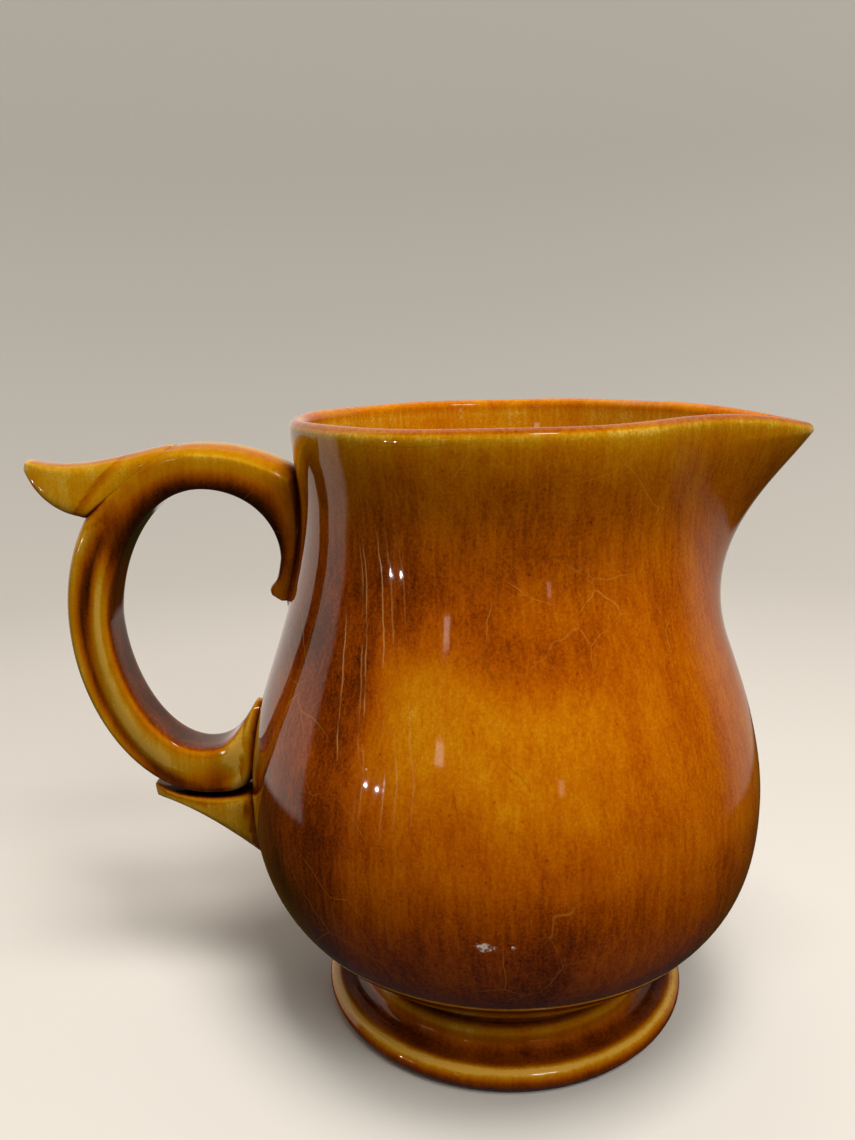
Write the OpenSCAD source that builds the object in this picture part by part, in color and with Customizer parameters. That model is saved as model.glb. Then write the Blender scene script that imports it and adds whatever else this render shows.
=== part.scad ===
// Ceramic pitcher: round belly, flared neck with a pulled spout, stepped
// foot ring, and a C-scroll handle with a thumb rest and a lower leaf.
// Millimetres. Origin at the middle of the resting ring, +Z up,
// +X towards the spout, -X towards the handle.

/* [Body] */
// Height of the rim above the table
height = 190; // [180:1:200]
// Outer radius at the widest part of the belly
belly_r = 80; // [76:1:84]
// Height of the widest part of the belly
belly_z = 74; // [70:1:78]
// Outer radius of the neck at its narrowest
neck_r = 60.2; // [57:0.1:62]
// Height of the narrowest part of the neck
neck_z = 164; // [158:1:168]
// Outer radius of the rim away from the spout
rim_r = 62.4; // [61:0.1:65]
// Thickness of the wall
wall = 5.3; // [4:0.1:6]

/* [Spout] */
// How far the spout's tip stands out from the rim
spout_reach = 30; // [24:0.1:34]
// Height at which the spout starts to leave the neck
spout_root_z = 122.5; // [116:0.5:130]
// How much lower the rim is at the spout's tip
spout_drop = 5; // [1:0.1:6]
// Angle from the tip at which the spout's sides leave the neck
spout_flank = 42.5; // [36:0.5:46]

/* [Foot] */
// Outer radius of the foot's lip
foot_r = 58.5; // [56:0.1:61]
// Height of the foot ring
foot_h = 19; // [17:0.5:21]

/* [Handle] */
// Furthest point of the loop from the axis
loop_reach = 137.2; // [134:0.1:140]
// Height of the top of the loop
loop_top = 182.3; // [180:0.1:184]
// Height of the underside of the loop
loop_bottom = 67.5; // [65:0.1:70]
// Thickness of the loop at its top
arch_t = 14; // [12:0.1:15]
// Thickness of the loop where the fingers hold it
grip_t = 14.4; // [13:0.1:16]
// Thickness of the loop at its bottom
heel_t = 16.7; // [15:0.1:18]
// Width of the loop
loop_w = 16; // [14:0.5:18]
// Depth of the groove along each side of the loop
groove = 1.6; // [0:0.1:2]

/* [Hidden] */

glaze = [0.52, 0.29, 0.06];
glaze_dark = [0.42, 0.21, 0.04];
glaze_olive = [0.55, 0.36, 0.07];

// Fullness of the lower body and of the bowl inside it: 2 is an ellipse
bowl_power = 2.5;
// Height at which the outer bowl would close, below the foot's top
bowl_end = 15;
// Height of the bowl's floor inside
floor_z = 26;
// Radius of the body's base, which stands on the foot
base_r = 43;
// Bead of slip round the lower body: how far it stands out, its height and half width
bead = 1.5;
bead_z = 26.3;
bead_h = 1.5;
lip_h = wall / 2;
// Columns round the body, closer together at the spout
columns = 84;
column_power = 1.5;
// Half width of the spout's rounded ridge at the rim and at its root, in degrees
ridge_top = 3;
ridge_root = 10;
// Hollowness of the spout's sides: at 1 they are flat
spout_hollow = 1.15;
// Turn of the curve that the spout's ridge follows, in degrees
ridge_turn = 114;
// How suddenly the rim drops towards the spout's tip
drop_power = 1.5;

function mix(a, b, t) = a + (b - a) * t;
function clamp01(t) = max(0, min(1, t));
function ease(t) = (1 - cos(180 * clamp01(t))) / 2;

// ---- body surface -------------------------------------------------------

// Outer radius of the round body at height z
function bowl_r(r, end, z) = r * pow(1 - pow((belly_z - z) / (belly_z - end), bowl_power), 1 / bowl_power);
function bead_r(z) = bead * exp(-pow((z - bead_z) / bead_h, 2));
function lower_r(z) = bowl_r(belly_r, bowl_end, z) + bead_r(z);
function shoulder_r(z) = mix(belly_r, neck_r, ease((z - belly_z) / (neck_z - belly_z)));
function flare_r(z) = mix(neck_r, rim_r, ease((z - neck_z) / (height - lip_h - neck_z)));
function round_r(z) = z < belly_z ? lower_r(z) : z < neck_z ? shoulder_r(z) : flare_r(z);

// Share of the spout's reach at height z, and at angle a from the spout
function spout_lift(z) = clamp01((z - spout_root_z) / (height - spout_drop - lip_h - spout_root_z));
function sheet(a) = 1 / cos(max(0, spout_flank - a)) - 1;
function spout_fall(a, z) =
    let (ridge = mix(ridge_root, ridge_top, spout_lift(z)))
    pow(sheet(sqrt(a * a + ridge * ridge) - ridge) / sheet(0), spout_hollow);
function spout_out(z) = spout_reach * (1 - cos(ridge_turn * spout_lift(z))) / (1 - cos(ridge_turn));
function outer_r(a, z) = round_r(z) + spout_out(z) * spout_fall(a, z);
function rim_z(a) = height - spout_drop * pow(spout_fall(a, height), drop_power);

// Inner radius: the wall is measured square to the outer surface
step = 0.5;
function slope_a(a, z) =
    (outer_r(a + step, z) - outer_r(a - step, z)) * 180 / (2 * step * PI * outer_r(a, z));
function slope_z(a, z) = (outer_r(a, z + step) - outer_r(a, z - step)) / (2 * step);
function upper_inner_r(a, z) =
    outer_r(a, z) - wall * sqrt(1 + pow(slope_a(a, z), 2) + pow(slope_z(a, z), 2));
function inner_r(a, z) = z < belly_z ? bowl_r(belly_r - wall, floor_z, z) : upper_inner_r(a, z);

// Heights of a bowl's rows, closer together where the bowl turns under
row_power = 1.5;
function bowl_rows(low, n) = [for (i = [0:n]) mix(low, belly_z, pow(i / n, row_power))];
function even_rows(low, high, n) = [for (i = [1:n]) mix(low, high, i / n)];

first_row = 0.6;
outer_rows = concat(bowl_rows(foot_h + first_row, 13), even_rows(belly_z, spout_root_z, 6));
upper_rows = 13;
inner_low_rows = concat(bowl_rows(floor_z + first_row, 9), even_rows(belly_z, spout_root_z, 5));
lip_steps = 6;

function column_angle(k) =
    let (u = 2 * k / columns - 1)
    180 * sign(u) * pow(abs(u), column_power);
function ring_point(r, a, z) = [r * cos(a), r * sin(a), z];

// The wall's section at angle a, from the base up the outside,
// over the lip and down the inside
function section(a) =
    let (
        top = rim_z(a) - lip_h,
        ro = outer_r(a, top),
        ri = upper_inner_r(a, top),
        mid = (ro + ri) / 2,
        half = (ro - ri) / 2
    )
    concat(
        [ring_point(base_r, a, foot_h)],
        [for (z = outer_rows) ring_point(outer_r(a, z), a, z)],
        [for (i = [1:upper_rows])
            let (z = mix(spout_root_z, top, i / upper_rows))
            ring_point(outer_r(a, z), a, z)],
        [for (i = [1:lip_steps - 1])
            let (b = 180 * i / lip_steps)
            ring_point(mid + half * cos(b), a, top + lip_h * sin(b))],
        [for (i = [upper_rows:-1:1])
            let (z = mix(spout_root_z, top, i / upper_rows))
            ring_point(inner_r(a, z), a, z)],
        [for (i = [len(inner_low_rows) - 1:-1:0]) let (z = inner_low_rows[i]) ring_point(inner_r(a, z), a, z)]
    );

// A closed skin over equal rings of points; each end is a fan round one point
module skin(rings, first, last) {
    count = len(rings);
    sides = len(rings[0]);
    points = concat([for (ring = rings) each ring], [first, last]);
    head = count * sides;
    tail = head + 1;
    faces = concat(
        [for (i = [0:count - 2], j = [0:sides - 1])
            let (a = i * sides + j, b = i * sides + (j + 1) % sides)
            each [[a, b, b + sides], [a, b + sides, a + sides]]],
        [for (j = [0:sides - 1]) [head, (j + 1) % sides, j]],
        [for (j = [0:sides - 1]) [tail, head - sides + j, head - sides + (j + 1) % sides]]
    );
    polyhedron(points, faces, convexity = 10);
}

module body() {
    sections = [for (k = [0:columns - 1]) section(column_angle(k))];
    rows = len(sections[0]);
    rings = [for (i = [0:rows - 1]) [for (k = [columns - 1:-1:0]) sections[k][i]]];
    color(glaze) skin(rings, [0, 0, foot_h], [0, 0, floor_z]);
}

// ---- foot ---------------------------------------------------------------

// Lip, trough and shoulder of the foot's side, each an arc: its centre's distance in
// from the lip, its centre's height and its radius
lip = [3.3, 4.8, 3.3];
trough = [7.9, 10.9, 3.9];
shoulder = [13.3, 11.9, 2.1];
// Inner and outer radius of the ring that rests on the table
rest_inner = 50;
rest_outer = foot_r - 3;
// Groove under the body: how far in from the body's base, and down from the foot's top
foot_groove = [[1.4, 7], [2.4, 4], [1, 1]];
// Width of the land that the body's base stands on
land = 7;

// Points of an arc from angle a to angle b
function arc(c, a, b, n) =
    [for (i = [0:n]) let (t = mix(a, b, i / n)) [foot_r - c[0] + c[2] * cos(t), c[1] + c[2] * sin(t)]];

module foot() {
    groove_in = [for (p = foot_groove) [base_r - p[0], foot_h - p[1]]];
    top = [[base_r, foot_h], [base_r - land, foot_h]];
    hollow_underside = [[base_r - land + 1.5, foot_h - 6], [rest_inner - 3.6, 2.4], [rest_inner - 2, 0.6]];
    color(glaze_dark) rotate_extrude($fn = 96) polygon(concat(
        [[rest_inner, 0], [rest_outer, 0]],
        arc(lip, -45, 100, 9),
        arc(trough, -70, -165, 7),
        arc(shoulder, 10, 120, 6),
        groove_in,
        top,
        hollow_underside
    ));
}

// ---- handle -------------------------------------------------------------

// Keeps a point out of the body: inside it, the point moves straight out
// to the body's surface
function clear_of_body(p) =
    let (r = norm([p[0], p[1]]), limit = round_r(p[2]))
    r < limit ? [p[0] * limit / r, p[1] * limit / r, p[2]] : p;

// How square a limb's outside and finger side are: 1 is round, 0 is square
outer_box = 0.5;
inner_box = 0.36;
// Place and half width of the groove along a limb's side, from -1 at the finger
// side to 1 at the outside
groove_mid = 0.2;
groove_h = 0.36;
// Where along a limb's side an outside that falls away starts to, and over what share
fall_from = 0.4;
fall_over = 0.5;

// Ring of points round a limb, between its finger side and its outside, both
// [x, z]: a rounded box with a groove of depth g along each side at place at, and an
// outside that falls away at its sides by a share of the limb's thickness
ring_sides = 28;
function signed_pow(v, p) = sign(v) * pow(abs(v), p);
function limb_ring(inside, outside, w, g = 0, fall = 0, at = groove_mid) = [
    for (k = [0:ring_sides - 1])
        let (
            a = 360 * k / ring_sides,
            box = sin(a) > 0 ? outer_box : inner_box,
            out = signed_pow(sin(a), box),
            side = signed_pow(cos(a), box),
            dent = g * exp(-pow((out - at) / groove_h, 2)),
            share = (1 + out) / 2 - fall * side * side * ease((out - fall_from) / fall_over),
            p = mix(inside, outside, share)
        )
        [p[0], side * (w / 2 - dent), p[1]]
];

// The outside of the handle stops just under the body's surface
bite = 1;
function bounded(p) = [min(p[0], bite - round_r(p[1])), p[1]];

// Loop: two half ellipses that lean back a little, as [x, z] at angle a.
// Their lower part is drawn in, and the outside's upper part pushed out
lean = 2.7;
skew = 1.7;
loop_x = -93.7;
inner_top = loop_top - arch_t;
inner_bottom = loop_bottom + heel_t;
function half_ellipse(a, reach, top, bottom, shift) = [
    loop_x + lean * sin(a) + (reach + loop_x) * cos(a) + shift,
    (top + bottom) / 2 + (top - bottom) / 2 * sin(a)
];
function loop_inside(a) =
    half_ellipse(a, loop_reach - grip_t, inner_top, inner_bottom, skew * max(0, sin(2 * a)));
function loop_outside(a) = half_ellipse(a, loop_reach, loop_top, loop_bottom, skew * sin(2 * a));
// Angles over which the groove deepens and fades, and how many degrees of the loop
// it takes to drift from one side of the limb to the other
groove_deepens = [115, 175];
groove_fades = [242, 272];
groove_drift = 180;
function share_of(a, span) = (a - span[0]) / (span[1] - span[0]);
function loop_groove(a) = groove * ease(share_of(a, groove_deepens)) * (1 - ease(share_of(a, groove_fades)));
function groove_place(a) = groove_mid + (a - 180) / groove_drift;
// The top of the arch falls away at its sides, up to where the thumb rest starts
dome = 0.11;
dome_fades = [85, 107];
function loop_fall(a) = dome * (1 - ease(share_of(a, dome_fades)));

// Arch: from the neck up to the top of the loop
arch_x = loop_x + lean;
arch_z = 147;
arch_in = 23.8;
arch_out = 46.6;
function arch(a, reach, top) = [arch_x + reach * cos(a), mix(arch_z, top, sin(a))];
// How much narrower than the loop the arch is where it meets the neck
arch_narrow = 1;
function arch_w(a) = loop_w - arch_narrow * cos(a);

// Scroll: lies down the neck below the arch, and curls out at its tip
scroll_w = 10;
scroll_tip = 132.4;
scroll_round = 2.4;
scroll_t = -arch_x - arch_in - round_r(arch_z);
curl = 1.7;
curl_z = 136.8;
curl_h = 2.4;
function scroll_depth(z) =
    (scroll_t + curl * exp(-pow((z - curl_z) / curl_h, 2))) * sqrt(clamp01((z - scroll_tip) / scroll_round));

// Lower end: runs in to the belly, and up it to the tip of a fin. Both of its edges
// are curves that start at the loop's bottom, each steered by two points
bottom = 270;
fin_tip = [-79.2, 98.5];
fin_tip_t = [3.4, -0.6];
fin_in = [loop_inside(bottom) + [8, 0], [-85, 89]];
fin_out = [loop_outside(bottom) + [13, -0.2], [-76, loop_bottom + 3.5]];
function curve(a, b, c, d, t) =
    a * pow(1 - t, 3) + 3 * b * t * pow(1 - t, 2) + 3 * c * t * t * (1 - t) + d * pow(t, 3);
function fin_inside(t) = curve(loop_inside(bottom), fin_in[0], fin_in[1], fin_tip, t);
function fin_outside(t) = curve(loop_outside(bottom), fin_out[0], fin_out[1], fin_tip + fin_tip_t, t);
// The fin is wider than the loop by fin_spread, and narrows to a blunt tip
fin_spread = 4;
fin_hollow = 0.6;
function fin_w(t) = mix(loop_w, loop_w + fin_spread, ease(t * 1.6)) * sqrt(1.03 - pow(t, 3));
function fin_groove(t) = fin_hollow * pow(sin(180 * min(1, 0.15 + t)), 2);

// Rings along the scroll and the fin, and degrees from ring to ring of the arch and the loop
scroll_steps = 8;
fin_steps = 12;
arch_step = 9;
loop_step = 7.5;

module handle() {
    scroll_rings = [for (i = [1:scroll_steps - 1])
        let (t = i / scroll_steps, z = mix(scroll_tip, arch_z, pow(t, 0.9)), r = round_r(z))
        limb_ring([-r - scroll_depth(z), z], [bite - r, z], mix(scroll_w, arch_w(0), t), 0, dome * t)];
    arch_rings = [for (a = [0:arch_step:90 - arch_step])
        let (inside = arch(a, arch_in, inner_top), outside = bounded(arch(a, arch_out, loop_top)))
        limb_ring(inside, outside, arch_w(a), 0, loop_fall(a))];
    loop_rings = [for (a = [90:loop_step:bottom - loop_step])
        limb_ring(loop_inside(a), loop_outside(a), loop_w, loop_groove(a), loop_fall(a), groove_place(a))];
    fin_rings = [for (i = [0:fin_steps])
        let (t = i / fin_steps)
        limb_ring(fin_inside(t), bounded(fin_outside(t)), fin_w(t), fin_groove(t))];
    rings = concat(scroll_rings, arch_rings, loop_rings, fin_rings);
    color(glaze_olive) skin(
        [for (ring = rings) [for (p = ring) clear_of_body(p)]],
        [-round_r(scroll_tip) - 0.2, 0, scroll_tip],
        clear_of_body([fin_tip[0] + 1, 0, fin_tip[1] + 0.8])
    );
}

// ---- leaves -------------------------------------------------------------

// Keeps a point out of the loop: inside its outside curve, the point moves
// out to the curve
loop_mid = [loop_x, (loop_top + loop_bottom) / 2];
function clear_of_loop(p) =
    let (
        d = [p[0], p[2]] - loop_mid,
        a = atan2(d[1] / (loop_top - loop_mid[1]), d[0] / (loop_reach + loop_x)),
        q = loop_outside(a)
    )
    norm(d) < norm(q - loop_mid) ? [q[0], p[1], q[1]] : p;

// Each leaf lies between two curves, steered by two points each
leaf_steps = 14;

// Angles at which the thumb rest's root starts and ends on the loop, the upper and
// lower corner of its tip, its width there and how far its top falls away at its sides
rest_from = 100;
rest_to = 142;
rest_up = [-145.9, 177.8];
rest_low = [-146.8, 174.4];
rest_over = [[-112, 181], [-128, 173.5]];
rest_under = [[-132, 159.8], [-143, 163.5]];
rest_tip_w = 6.5;
rest_narrow = 1.2;
rest_fall = 0.04;

module thumb_rest() {
    rings = [for (i = [0:leaf_steps])
        let (t = i / leaf_steps)
        limb_ring(
            curve(loop_outside(rest_to), rest_under[0], rest_under[1], rest_low, t),
            curve(loop_outside(rest_from), rest_over[0], rest_over[1], rest_up, t),
            mix(loop_w - rest_narrow, rest_tip_w, t * t), 0, rest_fall)];
    color(glaze_olive) skin(
        [for (ring = rings) [for (p = ring) clear_of_loop(p)]],
        clear_of_loop([rest_over[0][0], 0, loop_outside(rest_to)[1]]),
        [rest_low[0] - 0.5, 0, (rest_low[1] + rest_up[1]) / 2]
    );
}

// Upper and lower corner of the lower leaf's tip, its width there, how much wider
// than the loop it is at the belly, and where its edges meet the belly
leaf_up = [-114.8, 69.8];
leaf_low = [-114.2, 65.2];
leaf_over = [[-108, 67.2], [-96, 65.3], [-74, 70.5]];
leaf_under = [[-106, 64.3], [-97, 61.3], [-76, 44]];
leaf_tip_w = 5;
leaf_spread = 3;
leaf_root = [-70, 0, 56];

module lower_leaf() {
    rings = [for (i = [0:leaf_steps])
        let (t = i / leaf_steps)
        limb_ring(
            curve(leaf_up, leaf_over[0], leaf_over[1], leaf_over[2], t),
            curve(leaf_low, leaf_under[0], leaf_under[1], leaf_under[2], t),
            mix(leaf_tip_w, loop_w + leaf_spread, pow(t, 0.7)))];
    color(glaze_olive) skin(
        [for (ring = rings) [for (p = ring) clear_of_body(clear_of_loop(p))]],
        [leaf_up[0] - 0.2, 0, (leaf_low[1] + leaf_up[1]) / 2],
        clear_of_body(leaf_root)
    );
}

body();
foot();
handle();
thumb_rest();
lower_leaf();
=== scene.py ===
"""The looks of a glazed ceramic pitcher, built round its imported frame. Metres, +Z up.

+X is towards the spout and -X towards the handle. The shapes repeat the frame's own
curves at a finer pitch, and add the slip and glaze that soften where pieces meet.
"""
import math

import bmesh
import bpy
import numpy as np
from mathutils import Matrix, Vector
from mathutils.kdtree import KDTree


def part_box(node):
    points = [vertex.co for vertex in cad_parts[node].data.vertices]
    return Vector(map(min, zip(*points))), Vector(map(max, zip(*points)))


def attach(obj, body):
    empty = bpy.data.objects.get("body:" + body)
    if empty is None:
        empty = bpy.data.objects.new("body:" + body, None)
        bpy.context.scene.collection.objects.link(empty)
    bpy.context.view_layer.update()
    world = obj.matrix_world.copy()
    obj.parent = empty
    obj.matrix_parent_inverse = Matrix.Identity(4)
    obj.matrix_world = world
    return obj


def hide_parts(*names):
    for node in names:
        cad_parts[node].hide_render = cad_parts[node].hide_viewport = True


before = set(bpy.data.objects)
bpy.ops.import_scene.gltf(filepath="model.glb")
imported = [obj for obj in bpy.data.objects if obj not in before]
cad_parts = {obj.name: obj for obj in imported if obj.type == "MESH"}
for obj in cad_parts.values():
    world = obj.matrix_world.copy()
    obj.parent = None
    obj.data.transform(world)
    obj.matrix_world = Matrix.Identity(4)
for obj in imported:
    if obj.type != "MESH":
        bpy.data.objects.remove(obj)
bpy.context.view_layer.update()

# ---- driving sizes, from the frame -------------------------------------------

FRAME_HEIGHT = 190  # millimetres, at which the sizes below are given
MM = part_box("body")[1].z / FRAME_HEIGHT

height = FRAME_HEIGHT * MM
belly_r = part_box("body")[1].y
belly_z = 74 * MM
neck_r = 60.2 * MM
neck_z = 164 * MM
rim_r = 62.4 * MM
wall = 5.3 * MM
lip_h = wall / 2
base_z = 15 * MM  # where the bowl's curve would meet the axis
floor_z = 26 * MM
bowl_power = 2.5  # how full the bowl is; 2 would be an ellipse
bead_z = 26.3 * MM
bead_size = 1.5 * MM

spout_reach = 30 * MM
spout_root_z = 122.5 * MM
spout_drop = 5 * MM  # how far the rim dips at the spout's tip
ridge_turn = math.radians(114)  # turn of the curve that the ridge follows upwards
ridge_top = 3.0  # how blunt the ridge is at the rim, in degrees
ridge_root = 10.0
spout_flank = 42.5  # degrees from the ridge to the spout's edge
spout_hollow = 1.15  # above 1, the flanks are hollow

foot_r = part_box("foot")[1].x
foot_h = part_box("foot")[1].z
foot_lip_r = 3.3 * MM
foot_lip_z = 4.8 * MM
base_r = 43 * MM

loop_reach = 137.2 * MM  # from the body's axis to the back of the loop
loop_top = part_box("handle")[1].z
loop_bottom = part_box("handle")[0].z
arch_t = 14 * MM  # thickness at the top, the back and the bottom of the loop
grip_t = 14.4 * MM
heel_t = 16.7 * MM
loop_w = 16 * MM
groove = 1.6 * MM
dome = 0.11  # how far the arch's top falls away at its sides, as a share of its thickness


# ---- small sums ----------------------------------------------------------------


def mix(a, b, t):
    return a + (b - a) * t


def ease(t):
    return (1 - np.cos(np.pi * np.clip(t, 0, 1))) / 2


def bump(x, middle, width):
    """A smooth hump of height 1 at the middle."""
    return np.exp(-(((x - middle) / width) ** 2))


def at(x, z):
    """A point of the handle's middle plane, or a step in it, given in millimetres."""
    return np.array([x, z]) * MM


def spaced(line, density, shares):
    """Places at these shares of a line, closer together where the density is higher."""
    total = np.concatenate([[0], np.cumsum((density[1:] + density[:-1]) / 2)])
    return np.interp(shares, total / total[-1], line)


# ---- the body's surface ----------------------------------------------------------


def round_r(z):
    """Outer radius of the round body at height z, without its spout."""
    under = np.clip((belly_z - z) / (belly_z - base_z), 0, 1)
    bowl = belly_r * (1 - under**bowl_power) ** (1 / bowl_power)
    shoulder = mix(belly_r, neck_r, ease((z - belly_z) / (neck_z - belly_z)))
    flare = mix(neck_r, rim_r, ease((z - neck_z) / (height - lip_h - neck_z)))
    bead = bead_size * bump(z, bead_z, bead_size)
    return np.where(z < belly_z, bowl, np.where(z < neck_z, shoulder, flare)) + bead


def spout_lift(z):
    return np.clip((z - spout_root_z) / (height - spout_drop - lip_h - spout_root_z), 0, 1)


def spout_fall(angle, z):
    """Share of the spout's reach at an angle from its ridge, in degrees. Each side is
    a sheet, nearly flat, that leaves the neck at the flank angle."""
    lift = spout_lift(z)
    ridge = mix(ridge_root, ridge_top, lift)
    away = np.sqrt(angle**2 + ridge**2) - ridge
    sheet = 1 / np.cos(np.radians(np.maximum(0, spout_flank - away))) - 1
    return (sheet / (1 / math.cos(math.radians(spout_flank)) - 1)) ** spout_hollow


def outer_r(angle, z):
    reach = spout_reach * (1 - np.cos(ridge_turn * spout_lift(z))) / (1 - math.cos(ridge_turn))
    return round_r(z) + reach * spout_fall(angle, z)


def rim_z(angle):
    return height - spout_drop * spout_fall(angle, height) ** 1.5


def upper_inner_r(angle, z):
    """Inner radius above the belly: the wall is measured square to its outside."""
    step, turn = 0.5 * MM, 0.5
    outer = outer_r(angle, z)
    slope_z = (outer_r(angle, z + step) - outer_r(angle, z - step)) / (2 * step)
    slope_a = (outer_r(angle + turn, z) - outer_r(angle - turn, z)) / (math.radians(2 * turn) * outer)
    return outer - wall * np.sqrt(1 + slope_a**2 + slope_z**2)


# ---- meshes from grids of points ----------------------------------------------------


def new_piece(name, points, faces):
    """A smooth mesh object of these points and faces, its normals outwards."""
    mesh = bpy.data.meshes.new(name)
    mesh.from_pydata([tuple(p) for p in points], [], faces)
    mesh.validate()
    solid = bmesh.new()
    solid.from_mesh(mesh)
    if solid.calc_volume(signed=True) < 0:
        bmesh.ops.reverse_faces(solid, faces=solid.faces)
    solid.to_mesh(mesh)
    solid.free()
    mesh.shade_smooth()
    piece = bpy.data.objects.new(name, mesh)
    bpy.context.scene.collection.objects.link(piece)
    return piece


def ring_faces(rings, sides, first, last):
    """Quads between closed rings of points, with a fan round a point at each end."""
    faces = []
    for i in range(rings - 1):
        for j in range(sides):
            a = i * sides + j
            b = i * sides + (j + 1) % sides
            faces.append((a, b, b + sides, a + sides))
    head = (rings - 1) * sides
    for j in range(sides):
        k = (j + 1) % sides
        faces.append((first, k, j))
        faces.append((last, head + j, head + k))
    return faces


def skin(name, rings, first, last):
    """A closed piece over rings of points, all with the same number of points."""
    rings = np.array(rings)
    count, sides = rings.shape[:2]
    points = np.vstack([rings.reshape(-1, 3), first, last])
    return new_piece(name, points, ring_faces(count, sides, count * sides, count * sides + 1))


def coordinates(piece):
    found = np.empty(len(piece.data.vertices) * 3)
    piece.data.vertices.foreach_get("co", found)
    return found.reshape(-1, 3)


def normals(piece):
    found = np.empty(len(piece.data.vertices) * 3)
    piece.data.vertices.foreach_get("normal", found)
    return found.reshape(-1, 3)


def place(piece, points):
    piece.data.vertices.foreach_set("co", points.ravel())
    piece.data.update()


def paint(piece, name, values):
    """Stores one number for each point, which the glaze reads."""
    layer = piece.data.attributes.new(name, "FLOAT", "POINT")
    layer.data.foreach_set("value", values.astype(np.float32))


# ---- body ------------------------------------------------------------------------------


def column_angles(count):
    """Angles from the spout, in degrees, closer together at the spout and the handle."""
    angle = np.linspace(-180, 180, 2881)
    density = 1 + 1.4 * bump(angle, 0, 16) + 2.6 * (bump(angle, 180, 11) + bump(angle, -180, 11))
    return spaced(angle, density, np.arange(count) / count)


def outer_heights(count):
    """Rows up the outside to the spout's root, closer together where the handle joins."""
    z = np.linspace(foot_h + 0.6 * MM, spout_root_z, 1200)
    density = 1 + 0.9 * bump(z, 82 * MM, 22 * MM) + 3 * bump(z, foot_h, 5 * MM)
    return spaced(z, density, np.linspace(0, 1, count))


def wobble(angle, z):
    """The slight unevenness of a wall shaped by hand, always inwards."""
    depth = 0.09 * MM
    a = np.radians(angle)
    turns = np.sin(3 * a + 0.7) + 0.6 * np.sin(5 * a + 2.1 + z / (40 * MM))
    rings = 0.5 * np.sin(z / (5.2 * MM) + 1.2 * np.sin(2 * a))
    most = 2.1
    return depth * (turns + rings - most)


def lip_start(angle):
    """The height where the lip begins to turn over, a little uneven away from the spout."""
    uneven = 0.12 * MM * (np.sin(np.radians(7 * angle)) - 1)
    return rim_z(angle) - lip_h + uneven * (np.abs(angle) > 30)


def make_body():
    """Rows of points up the outside, over the lip and down the inside."""
    columns, lower_rows, upper_rows, lip_steps = 352, 100, 84, 14
    inner_rows, shoulder_rows, bowl_steps = 30, 12, 22
    angle = column_angles(columns)
    top = lip_start(angle)
    rows = [(np.full(columns, base_r), np.full(columns, foot_h))]
    for z in outer_heights(lower_rows):
        level = np.full(columns, z)
        rows.append((outer_r(angle, level) + wobble(angle, level), level))
    for i in range(1, upper_rows + 1):
        level = mix(spout_root_z, top, i / upper_rows)
        rows.append((outer_r(angle, level) + wobble(angle, level), level))
    outside, inside = rows[-1][0], upper_inner_r(angle, top)
    for i in range(1, lip_steps):
        turn = math.pi * i / lip_steps
        rows.append((
            (outside + inside) / 2 + (outside - inside) / 2 * math.cos(turn),
            top + lip_h * math.sin(turn),
        ))
    for i in range(inner_rows, 0, -1):
        level = mix(spout_root_z, top, i / inner_rows)
        rows.append((upper_inner_r(angle, level), level))
    for z in np.linspace(spout_root_z, belly_z, shoulder_rows, endpoint=False):
        level = np.full(columns, z)
        rows.append((upper_inner_r(angle, level), level))
    for i in range(bowl_steps):
        turn = math.pi / 2 * i / bowl_steps
        reach = (belly_r - wall) * math.cos(turn) ** (2 / bowl_power)
        level = belly_z - (belly_z - floor_z) * math.sin(turn) ** (2 / bowl_power)
        rows.append((np.full(columns, reach), np.full(columns, level)))
    a = np.radians(angle)
    rings = [np.column_stack([r * np.cos(a), r * np.sin(a), z]) for r, z in rows]
    return skin("pitcher_body", rings, (0, 0, foot_h), (0, 0, floor_z))


# ---- foot --------------------------------------------------------------------------------


def arc(centre_r, centre_z, radius, first, last, count):
    """Points along an arc, from its first angle to its last, in degrees."""
    turn = np.radians(np.linspace(first, last, count))
    return [(centre_r + radius * math.cos(t), centre_z + radius * math.sin(t)) for t in turn]


def between(points, pitch):
    """The same outline with its long sides divided."""
    found = []
    for (r0, z0), (r1, z1) in zip(points, points[1:] + points[:1]):
        parts = max(1, round(math.hypot(r1 - r0, z1 - z0) / pitch))
        found += [(mix(r0, r1, i / parts), mix(z0, z1, i / parts)) for i in range(parts)]
    return found


def softened(points, times):
    """The outline with its corners rounded off, as glaze does."""
    line = np.array(points)
    for _ in range(times):
        line = (np.roll(line, 1, 0) + 2 * line + np.roll(line, -1, 0)) / 4
    line[:, 1] = np.maximum(line[:, 1], 0)
    return line


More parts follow.
